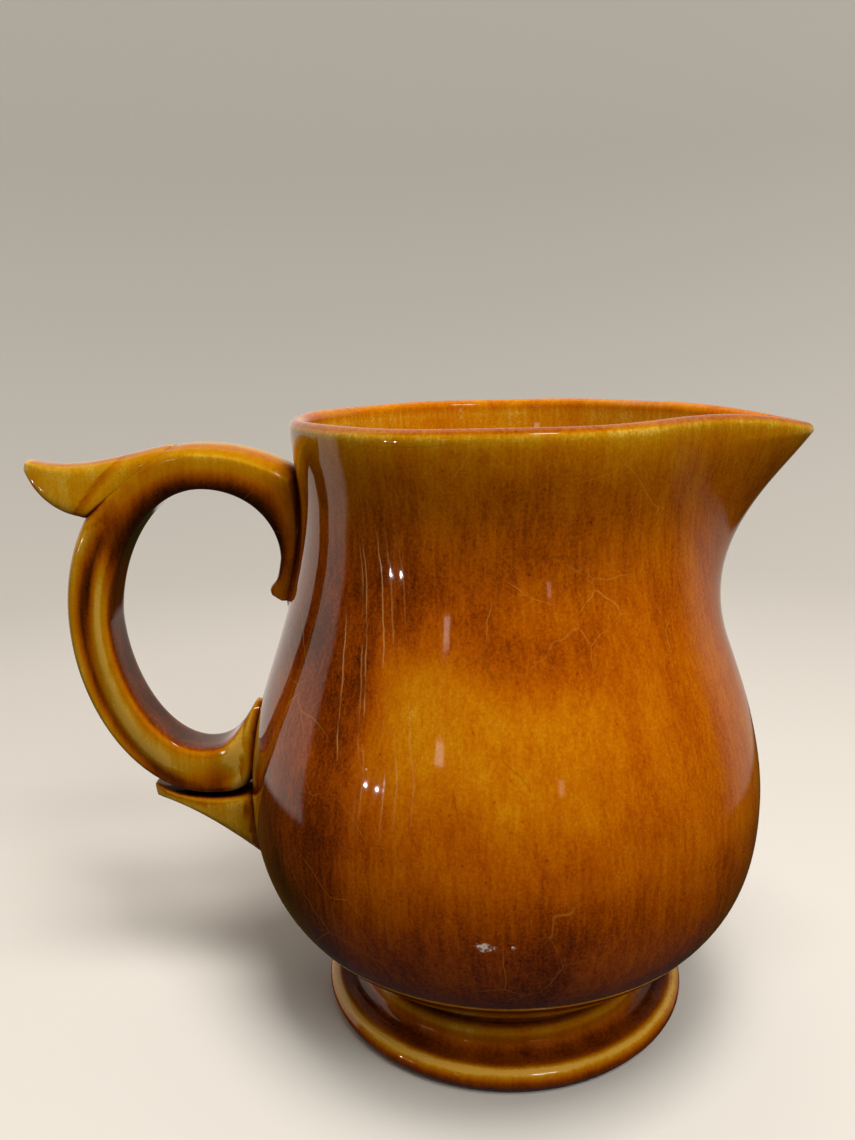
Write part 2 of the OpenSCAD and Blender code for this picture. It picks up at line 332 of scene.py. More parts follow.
def make_foot():
    """A turned ring: one outline, swept round the axis."""
    rest_inner = 50 * MM
    lip = (foot_r - foot_lip_r, foot_lip_z, foot_lip_r)
    trough = (foot_r - 7.9 * MM, 10.9 * MM, 3.9 * MM)
    shoulder = (foot_r - 13.3 * MM, foot_h - 7.1 * MM, 2.1 * MM)
    outline = [(rest_inner, 0), (foot_r - 3 * MM, 0)]
    outline += arc(*lip, -45, 100, 26)
    outline += arc(*trough, -70, -165, 24)
    outline += arc(*shoulder, 10, 120, 16)
    outline += [
        (base_r - 1.4 * MM, foot_h - 7 * MM),
        (base_r - 2.4 * MM, foot_h - 4 * MM),
        (base_r - 1 * MM, foot_h - 1 * MM),
        (base_r, foot_h),
        (base_r - 7 * MM, foot_h),
        (base_r - 5.5 * MM, foot_h - 6 * MM),
        (rest_inner - 3.6 * MM, 2.4 * MM),
        (rest_inner - 2 * MM, 0.6 * MM),
    ]
    line = softened(between(outline, 0.45 * MM), 2)
    sides = 420
    turn = np.arange(sides) * 2 * math.pi / sides
    points = []
    for r, z in line:
        points += [(r * math.cos(t), r * math.sin(t), z) for t in turn]
    faces = []
    count = len(line)
    for i in range(count):
        below, above = i * sides, (i + 1) % count * sides
        faces += [(below + j, below + (j + 1) % sides, above + (j + 1) % sides, above + j)
                  for j in range(sides)]
    return new_piece("foot_ring", points, faces)


# ---- handle --------------------------------------------------------------------------------


def signed_pow(value, power):
    return np.sign(value) * np.abs(value) ** power


LIMB_SIDES = 80
OUTER_BOX = 0.50  # how square the outside of a limb is, squarer towards 0
INNER_BOX = 0.36


def limb_section():
    """Place of each point of a limb's ring: across from -1 to 1, and out from the
    finger side at -1 to the outside at 1."""
    turn = np.arange(LIMB_SIDES) * 2 * math.pi / LIMB_SIDES
    box = np.where(np.sin(turn) > 0, OUTER_BOX, INNER_BOX)
    return signed_pow(np.cos(turn), box), signed_pow(np.sin(turn), box)


def limb_ring(inside, outside, width, dent=0.0, fall=0.0, place_at=0.2):
    """Ring round a limb from its finger side to its outside, both (x, z). Each side has
    a groove of depth dent at place_at, and the outside falls away at its sides by the
    share fall of the limb's thickness."""
    side, out = limb_section()
    hollow = dent * bump(out, place_at, 0.36)
    share = (1 + out) / 2 - fall * side**2 * ease((out - 0.4) / 0.5)
    x = mix(inside[0], outside[0], share)
    z = mix(inside[1], outside[1], share)
    return np.column_stack([x, side * (width / 2 - hollow), z])


def limb_tone(piece):
    """Darker on the finger side, on the low edge of the arch's sides and under the heel,
    partly thicker glaze and partly painted shade where these turn away from the light;
    thicker on the crown of the arch, and thin on the ridges and the fin."""
    side, out = limb_section()
    rings = (len(piece.data.vertices) - 2) // LIMB_SIDES
    side, out = np.tile(side, rings), np.tile(out, rings)
    across = np.abs(side)
    points = coordinates(piece)[: len(out)]
    x, z = points[:, 0], points[:, 2]
    arch = ease((z - 128 * MM) / (26 * MM)) * ease((x + 132 * MM) / (14 * MM))
    arch_top = ease((z - 158 * MM) / (14 * MM)) * (out > 0.5)
    heel = ease((84 * MM - z) / (12 * MM))
    scroll = ease((158 * MM - z) / (16 * MM)) * (z > 128 * MM) * (x > -85 * MM)
    fin = ease((x + 92 * MM) / (8 * MM)) * (z < 110 * MM)
    # Finger side: painted shade from the body, with thicker glaze.
    finger = 0.50 * ease((-out - 0.78) / 0.2)
    low_side = ease((0.15 - out) / 0.95) * (arch + (out < -0.6) * (1 - arch))
    # Low edge of the arch's sides: painted shade, with thicker glaze.
    low_edge_shade = mix(0.10, 0.60, arch) * low_side
    # Under the heel: painted shade, with thicker glaze.
    under = 0.46 * heel * ease((out + 0.25) / 1.1) * (1 - fin)
    crown = arch_top * (0.20 * ease((0.86 - across) / 0.3) - 0.08 * bump(across, 0.93, 0.07))
    ridge = 0.05 * arch - 0.07 * bump(out, -0.42, 0.28) * (1 - arch) - 0.24 * fin
    tone_and_shade = np.maximum(finger, low_edge_shade) + under + crown + ridge + 0.10 * scroll
    return np.concatenate([tone_and_shade, [0, 0]])


def leaf_tone(piece):
    """Thin on a leaf's sides, thicker on its top and its underside."""
    facing = np.abs(normals(piece)[:, 1])
    return mix(0.12, -0.07, ease((facing - 0.25) / 0.5))


def clear_of_body(points):
    """Points inside the body move straight out to its surface."""
    reach = np.hypot(points[:, 0], points[:, 1])
    grow = np.maximum(1, round_r(points[:, 2]) / np.maximum(reach, 1e-9))
    return np.column_stack([points[:, 0] * grow, points[:, 1] * grow, points[:, 2]])


bite = 1 * MM  # how far the handle is sunk into the body
lean = 2.7 * MM  # how far the loop leans towards the body at its top
skew = 1.7 * MM  # how far the loop's back stands out above its middle and in below it
loop_x = -93.7 * MM  # the middle of the loop
arch_x = loop_x + lean
arch_z = 147 * MM
arch_in = 23.8 * MM  # reach of the arch's inside and outside towards the body
arch_out = 46.6 * MM
scroll_tip = 132.4 * MM
scroll_t = -arch_x - arch_in - float(round_r(arch_z))
fin_tip = at(-79.2, 98.5)
loop_mid = np.array([loop_x, (loop_top + loop_bottom) / 2])


def half_ellipse(turn, reach, top, bottom, shift):
    """A point of the loop's outline, which leans towards the body at its top."""
    return np.array([
        loop_x + lean * math.sin(turn) + (reach + loop_x) * math.cos(turn) + shift,
        (top + bottom) / 2 + (top - bottom) / 2 * math.sin(turn),
    ])


def loop_inside(degrees):
    turn = math.radians(degrees)
    shift = skew * max(0, math.sin(2 * turn))
    return half_ellipse(turn, loop_reach - grip_t, loop_top - arch_t, loop_bottom + heel_t, shift)


def loop_outside(degrees):
    turn = math.radians(degrees)
    return half_ellipse(turn, loop_reach, loop_top, loop_bottom, skew * math.sin(2 * turn))


def loop_groove(degrees):
    return groove * float(ease((degrees - 115) / 60) * ease((272 - degrees) / 30))


def groove_place(degrees):
    """The groove drifts from the finger side at the top of the loop to the outside below."""
    return 0.2 + (degrees - 180) / 180


def loop_fall(degrees):
    """The outside is domed over the arch and flatter down the loop."""
    return dome * (1 - float(ease((degrees - 85) / 22)))


def arch_point(degrees, reach, top):
    """A point of the arch's outline, from the scroll at 0 to the top at 90."""
    turn = math.radians(degrees)
    return np.array([arch_x + reach * math.cos(turn), mix(arch_z, top, math.sin(turn))])


def bounded(point):
    """The handle's outside stops just under the body's surface."""
    return np.array([min(point[0], bite - float(round_r(point[1]))), point[1]])


def scroll_depth(z):
    """The scroll's thickness at a height, with a small curl at its tip."""
    curl = 1.7 * MM * bump(z, 136.8 * MM, 2.4 * MM)
    return (scroll_t + curl) * math.sqrt(min(1, max(0, (z - scroll_tip) / (2.4 * MM))))


def curve(a, b, c, d, t):
    """A point on a cubic curve through a and d, steered by b and c."""
    return a * (1 - t) ** 3 + 3 * b * t * (1 - t) ** 2 + 3 * c * t * t * (1 - t) + d * t**3


def fin_inside(t):
    """The fin's edge towards the fingers, from the bottom of the loop to the tip."""
    start = loop_inside(270)
    return curve(start, start + at(8, 0), at(-85, 89), fin_tip, t)


def fin_outside(t):
    """The fin's other edge, which runs up along the belly."""
    start = loop_outside(270)
    low = np.array([-76 * MM, loop_bottom + 3.5 * MM])
    return curve(start, start + at(13, -0.2), low, fin_tip + at(3.4, -0.6), t)


def fin_w(t):
    """The fin widens from the loop, then rounds off at its tip."""
    return mix(loop_w, loop_w + 4 * MM, float(ease(t * 1.6))) * math.sqrt(1.03 - t**3)


def make_handle():
    """One limb: up the scroll, over the arch, down the loop and along the fin."""
    rings = []
    scroll_steps, fin_steps = 30, 54
    for i in range(1, scroll_steps):
        share = i / scroll_steps
        z = mix(scroll_tip, arch_z, share**0.9)
        reach = float(round_r(z))
        inside = (-reach - scroll_depth(z), z)
        width = mix(10 * MM, loop_w - MM, share)
        rings.append(limb_ring(inside, (bite - reach, z), width, fall=dome * share))
    for degrees in np.arange(0, 90, 1.5):
        inside = arch_point(degrees, arch_in, loop_top - arch_t)
        outside = bounded(arch_point(degrees, arch_out, loop_top))
        width = loop_w - MM * math.cos(math.radians(degrees))
        rings.append(limb_ring(inside, outside, width, fall=loop_fall(degrees)))
    for degrees in np.arange(90, 270, 1.25):
        inside, outside = loop_inside(degrees), loop_outside(degrees)
        rings.append(limb_ring(inside, outside, loop_w, loop_groove(degrees), loop_fall(degrees),
                               groove_place(degrees)))
    for i in range(fin_steps + 1):
        t = i / fin_steps
        hollow = 0.6 * MM * math.sin(math.pi * min(1, 0.15 + t)) ** 2
        rings.append(limb_ring(fin_inside(t), bounded(fin_outside(t)), fin_w(t), hollow))
    rings = [clear_of_body(ring) for ring in rings]
    first = (-float(round_r(scroll_tip)) - 0.2 * MM, 0, scroll_tip)
    last = clear_of_body(np.array([[fin_tip[0] + MM, 0, fin_tip[1] + 0.8 * MM]]))[0]
    return skin("handle_loop", rings, first, last)


# ---- leaves ---------------------------------------------------------------------------------


def clear_of_loop(points, sunk=0.0):
    """Points inside the loop's outside curve move out to the curve, or to sunk below it."""
    found = points.copy()
    for i, (x, y, z) in enumerate(points):
        away = np.array([x, z]) - loop_mid
        turn = math.atan2(away[1] / (loop_top - loop_mid[1]), away[0] / (loop_reach + loop_x))
        edge = loop_outside(math.degrees(turn))
        edge = edge - (edge - loop_mid) * sunk / np.linalg.norm(edge - loop_mid)
        if np.linalg.norm(away) < np.linalg.norm(edge - loop_mid):
            found[i] = (edge[0], y, edge[1])
    return found


LEAF_STEPS = 56


def make_thumb_rest():
    """It grows out of the loop's top, and its root is sunk into the loop."""
    up, low = at(-145.9, 177.8), at(-146.8, 174.4)
    rings = []
    for i in range(LEAF_STEPS + 1):
        t = i / LEAF_STEPS
        under = curve(loop_outside(142), at(-132, 159.8), at(-143, 163.5), low, t)
        over = curve(loop_outside(100), at(-112, 181), at(-128, 173.5), up, t)
        width = mix(loop_w - 1.2 * MM, 6.5 * MM, t**2)
        rings.append(clear_of_loop(limb_ring(under, over, width, fall=0.04), 4 * MM))
    first = clear_of_loop(np.array([[-112 * MM, 0, 168 * MM]]))[0]
    last = (low[0] - 0.5 * MM, 0, (low[1] + up[1]) / 2)
    return skin("thumb_rest_leaf", rings, first, last)


def make_lower_leaf():
    """It lies under the loop's heel and runs onto the belly."""
    up, low = at(-114.8, 69.8), at(-114.2, 65.2)
    rings = []
    for i in range(LEAF_STEPS + 1):
        t = i / LEAF_STEPS
        over = curve(up, at(-108, 67.2), at(-96, 65.3), at(-74, 70.5), t)
        under = curve(low, at(-106, 64.3), at(-97, 61.3), at(-76, 44), t)
        ring = limb_ring(over, under, mix(5 * MM, loop_w + 3 * MM, t**0.7))
        rings.append(clear_of_body(clear_of_loop(ring)))
    first = (up[0] - 0.2 * MM, 0, (low[1] + up[1]) / 2)
    last = clear_of_body(np.array([[-70 * MM, 0, 56 * MM]]))[0]
    return skin("lower_leaf_drop", rings, first, last)


# ---- glaze ------------------------------------------------------------------------------------


def tree_of(pieces):
    """A search tree over every other point of these pieces."""
    points = np.vstack([coordinates(piece)[::2] for piece in pieces])
    tree = KDTree(len(points))
    for i, p in enumerate(points):
        tree.insert(p, i)
    tree.balance()
    return tree


def distance_to(points, pieces):
    """Distance from each point to the nearest point of the other pieces."""
    tree = tree_of(pieces)
    return np.array([tree.find(p)[2] for p in points])


def crease(piece, others, reach):
    """From 0 on an open face to 1 deep in the corner that a piece makes with others:
    it counts only what stands up in front of the surface. The glaze draws it as thicker
    glaze and as painted shade in the corner. It fades out on the upper part of the
    thumb rest's root, and is weaker on the neck."""
    neighbours, gain = 40, 1.7
    tree = tree_of(others)
    found = np.zeros(len(piece.data.vertices))
    for i, (p, n) in enumerate(zip(coordinates(piece), normals(piece))):
        if tree.find(p)[2] > reach:
            continue
        near = tree.find_n(p, neighbours)
        gaps = np.array([hit[2] for hit in near])
        rise = (np.array([hit[0] for hit in near]) - p) @ n / np.maximum(gaps, 0.3 * MM)
        found[i] = max(0, np.max(rise * (1 - gaps / reach)))
    x, _, z = coordinates(piece).T
    thumb = np.where(z > 156 * MM, 0.9 * ease((-x - 107 * MM) / (17 * MM)), 1)
    neck = mix(1, 0.4, ease((z - 100 * MM) / (30 * MM)))
    return np.clip(found * gain, 0, 1) * np.where(x < -90 * MM, thumb, neck)


def spread_slip(piece, others, rise, reach):
    """The slip that joins pieces stands up a little beside the joint. The inside of
    the body stays as it is."""
    points = coordinates(piece)
    away = distance_to(points, others)
    outside = np.hypot(points[:, 0], points[:, 1]) > neck_r - wall / 2
    raised = rise * bump(away, 0, reach) * outside
    place(piece, points + normals(piece) * raised[:, None])


def pooling(piece, reach):
    """How far each point lies under the average surface round it, in millimetres:
    above 0 in a hollow, where glaze gathers, and below 0 on an edge, where it runs thin."""
    mesh = piece.data
    pairs = np.empty(len(mesh.edges) * 2, dtype=np.int64)
    mesh.edges.foreach_get("vertices", pairs)
    a, b = pairs.reshape(-1, 2).T
    points = coordinates(piece)
    count = len(points)
    closeness = 1 / np.maximum(np.linalg.norm(points[a] - points[b], axis=1), 0.05 * MM)
    total = np.bincount(a, closeness, count) + np.bincount(b, closeness, count)
    spacing = float(np.median(1 / closeness))
    passes = int(2 * (reach / spacing) ** 2)
    smooth = points.copy()
    for _ in range(passes):
        for axis in range(3):
            line = smooth[:, axis]
            near = np.bincount(a, closeness * line[b], count) + np.bincount(b, closeness * line[a], count)
            smooth[:, axis] = (line + near / total) / 2
    return np.einsum("ij,ij->i", smooth - points, normals(piece)) / MM


def turned(piece):
    """Each point's angle round the pitcher in degrees, its distance from the axis and
    its height."""
    x, y, z = coordinates(piece).T
    return np.degrees(np.arctan2(y, x)), np.hypot(x, y), z


def soft_patch(angle, z, patch):
    middle, level, half_a, half_z, amount = patch
    turn = (angle - middle + 180) % 360 - 180
    u = turn / half_a
    v = (z / MM - level) / half_z
    return amount * np.exp(-((u * u + v * v) ** 1.5))


# Where the body's glaze is drawn darker (amount above 0) or lighter than round about:
# some patches are uneven glaze, and some are painted shade and painted light, such as
# the rim's painted shadow across the front of the neck, the lit patch under it and the
# shade down the left of the front. Columns: middle angle, middle height, half width in
# degrees, half height in millimetres, amount
GLAZE_SHADE_AND_LIGHT_PATCHES = [
    # painted shadow of the rim and spout across the front of the neck
    (-85, 134, 22, 9, 0.11),
    (-100, 141, 14, 8, 0.06),
    (-122, 142, 16, 26, 0.12),
    (-124, 76, 18, 22, 0.08),
    (-86, 160, 20, 9, 0.05),
    # painted light: the lit patch under that shadow
    (-86, 113, 17, 21, -0.17),
    (-105, 122, 11, 20, -0.11),
    (-78, 146, 8, 10, -0.06),
    (-48, 128, 22, 40, 0.02),
    (-58, 100, 12, 16, 0.04),
    (-126, 160, 14, 20, 0.10),
    # painted shade down the left of the front
    (-150, 104, 30, 62, 0.24),
    (-92, 60, 40, 14, 0.02),
    (60, 120, 26, 20, -0.12),
    (95, 140, 22, 12, 0.12),
    (130, 92, 24, 26, -0.10),
    (20, 80, 30, 22, 0.08),
    (165, 60, 24, 18, -0.06),
    (-126, 70, 14, 16, -0.10),
    (-104, 152, 9, 9, 0.08),
    (-162, 166, 10, 12, -0.12),
    (-104, 176, 16, 10, 0.05),
    (-113, 140, 8, 10, 0.05),
    (-121, 121, 8, 14, 0.11),
    (-90, 88, 26, 8, 0.05),
    (-143, 140, 8, 18, 0.10),
    (-92, 66, 24, 13, 0.07),
    (-128, 62, 13, 14, -0.05),
    (-58, 62, 12, 14, -0.05),
]


def inside_share(piece):
    """1 on the inside of the body and 0 on its outside."""
    angle, reach, z = turned(piece)
    depth = outer_r(angle, z) - reach
    return ease((depth - wall * 0.4) / (wall * 0.3)) * (z > foot_h + MM)


def body_tone(piece):
    """The uneven thickness of the body's glaze, outside and in, with painted shade and painted light in
    some places.
    """
    angle, _, z = turned(piece)
    wander = 5 * np.sin(z / (17 * MM) + 0.8) + 2.5 * np.sin(z / (6.5 * MM) + angle / 9)
    sway = 3.5 * MM * (np.sin(angle / 7.5) + 0.6 * np.sin(angle / 2.9 + 1))
    patches = sum(soft_patch(angle + wander, z + sway, patch) for patch in GLAZE_SHADE_AND_LIGHT_PATCHES)
    inward = inside_share(piece)
    below_rim = rim_z(angle) - z
    lip = inward * ease((4.5 * MM - below_rim) / (2.5 * MM))
    crest = ease((1.9 * MM - below_rim) / (1.2 * MM))
    corner = bump(below_rim, 3.2 * MM, 1.5 * MM) * (1 - inward)
    # Darker on the outside just above the foot: thicker glaze there, and painted shade under the belly.
    bead = ease((29.5 * MM - z) / (2 * MM)) * (1 - inward)
    # Lighter on the inside: partly thinner glaze and partly painted light falling into the mouth.
    tone_and_shade = patches * (1 - inward) - 0.21 * inward + 0.37 * np.maximum(lip, crest)
    return tone_and_shade - 0.05 * corner + 0.10 * bead


def foot_tone(piece):
    """Thin over the lip's crest; darker below it and in the groove, partly thicker glaze and partly
    painted shade; thick in the trough above it.
    """
    _, reach, z = turned(piece)
    turn = np.degrees(np.arctan2(z - foot_lip_z, reach - foot_r + foot_lip_r))
    on_lip = ease((reach - foot_r + 5.6 * MM) / (1.2 * MM))
    crest = bump(turn, 62, 20) * on_lip
    # Below the crest, where the lip turns down: thicker glaze and painted shade.
    edge = ease((48 - turn) / 52) * on_lip
    trough = ease((foot_r - 2.5 * MM - reach) / (1.8 * MM)) * ease((10.4 * MM - z) / (3.6 * MM))
    # The groove under the body: thicker glaze and painted shade.
    deep = ease((z - 13.4 * MM) / (1.2 * MM)) * (reach < foot_r - 11.6 * MM)
    return 0.37 * trough + 0.5 * deep + 0.42 * edge - 0.31 * crest


def finish_glaze(piece, others, reach, tone_and_shade, dark_below=0.0):
    """Stores what the glaze reads: its pooling, its creases, drawn as thicker glaze and
    painted shade, and its uneven thickness, with painted shade and painted light in places.
    Below the height dark_below it runs thin nowhere."""
    joint, corner = 1.6 * MM, 3.8 * MM
    points = coordinates(piece)
    pool = pooling(piece, reach) * (1 - bump(distance_to(points, others), 0, joint))
    paint(piece, "pool", np.where(points[:, 2] < dark_below, np.maximum(pool, 0), pool))
    paint(piece, "seam_glaze_and_shade", crease(piece, others, corner))
    paint(piece, "tone_and_shade", tone_and_shade(piece))


class Tree:
    """Short names for the nodes of a material or of the world."""

    def __init__(self, owner):
        owner.use_nodes = True
        self.nodes = owner.node_tree.nodes
        self.links = owner.node_tree.links

    def node(self, kind, settings=None, **inputs):
        """A new node, with settings by name and inputs by label or by i and a number."""
        made = self.nodes.new("ShaderNode" + kind)
        for key, value in (settings or {}).items():
            setattr(made, key, value)
        for key, value in inputs.items():
            self.put(made, key, value)
        return made

    def put(self, node, key, value):
        socket = node.inputs[int(key[1:])] if key[0] == "i" and key[1:].isdigit() else node.inputs[key]
        if hasattr(value, "is_linked"):
            self.links.new(value, socket)
        else:
            socket.default_value = value

    def math(self, operation, a, b=0.0, c=0.0):
        return self.node("Math", {"operation": operation}, i0=a, i1=b, i2=c).outputs[0]

    def attribute(self, name):
        return self.node("Attribute", {"attribute_name": name}).outputs["Fac"]

    def axes(self, point):
        return self.node("SeparateXYZ", None, Vector=point).outputs

    def moved(self, point, step):
        return self.node("Mapping", None, Vector=point, Location=step).outputs[0]

    def scaled(self, point, sizes):
        return self.node("Mapping", None, Vector=point, Scale=sizes).outputs[0]

    def noise(self, point, scale, detail=2.0, rough=0.5, warp=0.0):
        made = self.node("TexNoise", None, Vector=point, Scale=scale, Detail=detail, Roughness=rough,
                         Distortion=warp)
        return made.outputs["Fac"]

    def ranged(self, value, low, high, out_low=0.0, out_high=1.0, smooth=True):
        settings = {"interpolation_type": "SMOOTHSTEP" if smooth else "LINEAR"}
        made = self.node("MapRange", settings, i0=value, i1=low, i2=high, i3=out_low, i4=out_high)
        return made.outputs[0]

    def ramp(self, value, stops):
        made = self.node("ValToRGB", None, Fac=value)
        ramp = made.color_ramp
        while len(ramp.elements) < len(stops):
            ramp.elements.new(0.5)
        for element, (position, color) in zip(ramp.elements, stops):
            element.position = position
            element.color = (*color, 1)
        return made.outputs["Color"]

    def blend(self, share, a, b, kind="MIX"):
        made = self.node("Mix", {"data_type": "RGBA", "blend_type": kind})
        self.put(made, "i0", share)
        self.put(made, "i6", a)
        self.put(made, "i7", b)
        return made.outputs[2]


# Glaze by thickness, painted shade and painted light included, from the olive gold of a
# bare edge to the near black of a deep, shaded crease
GLAZE = [
    (0.00, (0.780, 0.380, 0.055)),
    (0.05, (0.650, 0.320, 0.024)),
    (0.13, (0.600, 0.235, 0.003)),
    (0.28, (0.530, 0.150, 0.0008)),
    (0.44, (0.420, 0.088, 0.0006)),
    (0.58, (0.275, 0.047, 0.0005)),
    (0.72, (0.125, 0.019, 0.0004)),
    (0.86, (0.038, 0.006, 0.0003)),
    (1.00, (0.007, 0.002, 0.0002)),
]
OLIVE_TINT = (0.84, 1.0, 1.0, 1)
DARK_CRACK = (0.16, 0.035, 0.001, 1)
PALE_CRACK = (0.60, 0.27, 0.03, 1)
PALE_RUN_AND_SHEEN = (0.68, 0.38, 0.12, 1)
PINHOLE = (0.80, 0.62, 0.40, 1)
BARE_CLAY = (0.88, 0.74, 0.66, 1)

# Height on the body in millimetres, and how much darker its glaze is drawn there; 0.5 adds nothing.
# Low on the body this is partly thicker glaze and partly painted shade, where the belly turns
# away from the light above.
BODY_PROFILE_AND_SHADE = [
    (19, 0.98), (30, 0.92), (36, 0.84), (50, 0.76), (64, 0.72), (80, 0.56),
    (112, 0.53), (135, 0.56), (165, 0.58), (176, 0.54), (184, 0.44), (190, 0.34),
]

# Pale runs on the handle's half of the front, their colour partly painted reflection:
# angle at the neck, in degrees, and strength
RUNS = [(-133.2, 0.5), (-127.6, 0.35), (-126.4, 0.5), (-121.5, 0.55), (-118.9, 0.3), (-115.4, 0.2)]


def thickness(t, point, rest, pool_gain, profile, coarse):
    """How thick the glaze lies, from 0 to 1, over the whole of a piece, with the painted
    shade and painted light that the attributes and the profile carry added in. Streaks,
    drips and runs are noise drawn out up and down; clouds and grain are not drawn out."""
    streaks = t.noise(t.scaled(point, (1, 1, 0.14)), 780, 4, 0.7)
    drips = t.noise(t.scaled(point, (1, 1, 0.10)), 125, 3, 0.6, 0.3)
    runs = t.noise(t.scaled(point, (1, 1, 0.07)), 48, 2, 0.5, 0.2)
    clouds = t.noise(point, 30, 3, 0.55, 0.5)
    grain = t.noise(point, 1250, 3, 0.75)
    thick = t.math("MULTIPLY_ADD", t.attribute("pool"), pool_gain, rest)
    # The seam adds thicker glaze and painted shade in the corners where pieces meet.
    thick = t.math("MULTIPLY_ADD", t.attribute("seam_glaze_and_shade"), 0.62, thick)
    thick = t.math("ADD", thick, t.attribute("tone_and_shade"))
    layers = [
        (streaks, 0.065 * coarse),
        (drips, 0.05),
        (runs, 0.04),
        (clouds, 0.055),
        (grain, 0.08 * coarse),
    ]
    for value, amount in layers:
        thick = t.math("ADD", thick, t.ranged(value, 0.28, 0.72, -amount, amount))
    if profile:
        low, high = profile[0][0], profile[-1][0]
        stops = [((h - low) / (high - low), (v, v, v)) for h, v in profile]
        share = t.ranged(t.axes(point)["Z"], low * MM, high * MM, smooth=False)
        thick = t.math("ADD", thick, t.math("SUBTRACT", t.ramp(share, stops), 0.5))
    return thick


def crazing(t, point):
    """Sparse wandering hairlines, 1 on a line and 0 off it."""
    cell, width, wander = 0.021, 0.00015, 0.010
    bend = t.node("TexNoise", None, Vector=point, Scale=38.0, Detail=3.0).outputs["Color"]
    start = t.moved(point, (0.31, 0.093, 0.217))
    wavy = t.node("VectorMath", {"operation": "MULTIPLY_ADD"}, i0=bend, i1=(wander,) * 3, i2=start)
    cells = t.node("TexVoronoi", {"feature": "DISTANCE_TO_EDGE"}, Vector=wavy.outputs[0], Scale=1 / cell)
    line = t.ranged(cells.outputs["Distance"], 0.35 * width / cell, width / cell, 1, 0)
    shown = t.noise(t.scaled(point, (1, 1, 1.2)), 26, 2, 0.5)
    return t.math("MULTIPLY", line, t.ranged(shown, 0.46, 0.60))


def dots(t, point, cell, size, share, seed):
    """Small round dots in a share of the cells."""
    cells = t.node("TexVoronoi", None, Vector=t.moved(point, (seed, seed, seed)), Scale=1 / cell)
    spot = t.ranged(cells.outputs["Distance"], 0.4 * size / cell, size / cell, 1, 0)
    chance = t.node("SeparateColor", None, Color=cells.outputs["Color"]).outputs[0]
    return t.math("MULTIPLY", spot, t.math("LESS_THAN", chance, share))


def glaze_material(name, rest, pool_gain, profile=(), worn=0.0, olive=0.0, coarse=1.0, marked=False):
    """Amber glaze. rest is its thickness on a flat face, from 0 to 1, pool_gain what a
    millimetre of hollow adds, profile how it changes with height, painted shade low on
    the body included, worn how strongly its crazing and pinholes show, olive its lean
    from amber to olive, coarse the strength of its grain, and marked adds the body's own
    pale runs, partly painted reflection, and its chip."""
    material = bpy.data.materials.new(name)
    t = Tree(material)
    point = t.node("TexCoord").outputs["Object"]
    specks = dots(t, point, 0.0030, 0.0005, 0.5, 0.2)
    thick = thickness(t, point, rest, pool_gain, profile, coarse)
    color = t.ramp(t.math("MULTIPLY_ADD", specks, 0.12, thick), GLAZE)
    near_rim = t.ranged(t.axes(point)["Z"], 140 * MM, 176 * MM)
    greener = t.math("MAXIMUM", t.math("SUBTRACT", near_rim, t.attribute("inner")), olive)
    color = t.blend(greener, color, t.blend(1.0, color, OLIVE_TINT, "MULTIPLY"))
    kind = t.ranged(t.noise(point, 24, 1, 0.5), 0.46, 0.54)
    crack = t.blend(kind, DARK_CRACK, PALE_CRACK)
    color = t.blend(t.math("MULTIPLY", crazing(t, point), 0.42 * worn), color, crack)
    runs = pale_runs_and_sheen(t, point) if marked else 0.0
    # The pale runs are partly painted reflection.
    color = t.blend(runs, color, PALE_RUN_AND_SHEEN)
    pinholes = dots(t, point, 0.024, 0.00042, 0.4, 0.9)
    color = t.blend(t.math("MULTIPLY", pinholes, 0.8 * worn), color, PINHOLE)
    if marked:
        color = chipped(t, point, color)
    ripple = t.noise(point, 105, 2, 0.5)
    curtains = t.noise(t.scaled(point, (1, 1, 0.07)), 210, 2, 0.5, 0.2)
    relief = t.math("MULTIPLY_ADD", curtains, 0.45, t.math("MULTIPLY_ADD", runs, 1.2, ripple))
    bumps = t.node("Bump", None, Strength=0.3, Distance=0.00014, Height=relief)
    shader = t.nodes["Principled BSDF"]
    t.put(shader, "Base Color", color)
    t.put(shader, "Roughness", 0.05)
    t.put(shader, "IOR", 1.5)
    t.put(shader, "Normal", bumps.outputs["Normal"])
    return material


def pale_runs_and_sheen(t, point):
    """Thin pale runs of glaze that lean towards the front as they go down. Their pale colour is partly a
    painted reflection along the ridges of the runs.
    """
    x, y, z = t.axes(point)
    turn = t.math("MULTIPLY", t.math("ARCTAN2", y, x), math.degrees(1))
    sway = t.noise(t.node("CombineXYZ", None, Z=z).outputs[0], 75, 3, 0.55)
    most_sway = 2.4
    lean_over = t.ranged(z, 105 * MM, 165 * MM, 8.5, 0.0, False)
    angle = t.math("MULTIPLY_ADD", sway, most_sway, t.math("SUBTRACT", turn, lean_over))
    total = 0.0
    for middle, strength in RUNS:
        away = t.math("ABSOLUTE", t.math("SUBTRACT", angle, middle + most_sway / 2))
        total = t.math("MULTIPLY_ADD", t.ranged(away, 0.05, 0.30, 1, 0), strength, total)
    broken = t.ranged(t.noise(t.scaled(point, (1, 1, 0.35)), 120, 2, 0.5), 0.40, 0.58)
    fade_low = t.ranged(z, 84 * MM, 104 * MM)
    fade_high = t.ranged(z, 152 * MM, 170 * MM, 1, 0)
    shown = t.math("MULTIPLY", broken, t.math("MULTIPLY", fade_low, fade_high))
    return t.math("MULTIPLY", total, shown)


# The chip and the dot beside it: angle in degrees, half width and half height in
# millimetres, and how ragged the edge is
CHIPS = [(-93.1, 3.4, 1.6, 0.8), (-88.1, 0.6, 0.7, 0.3)]


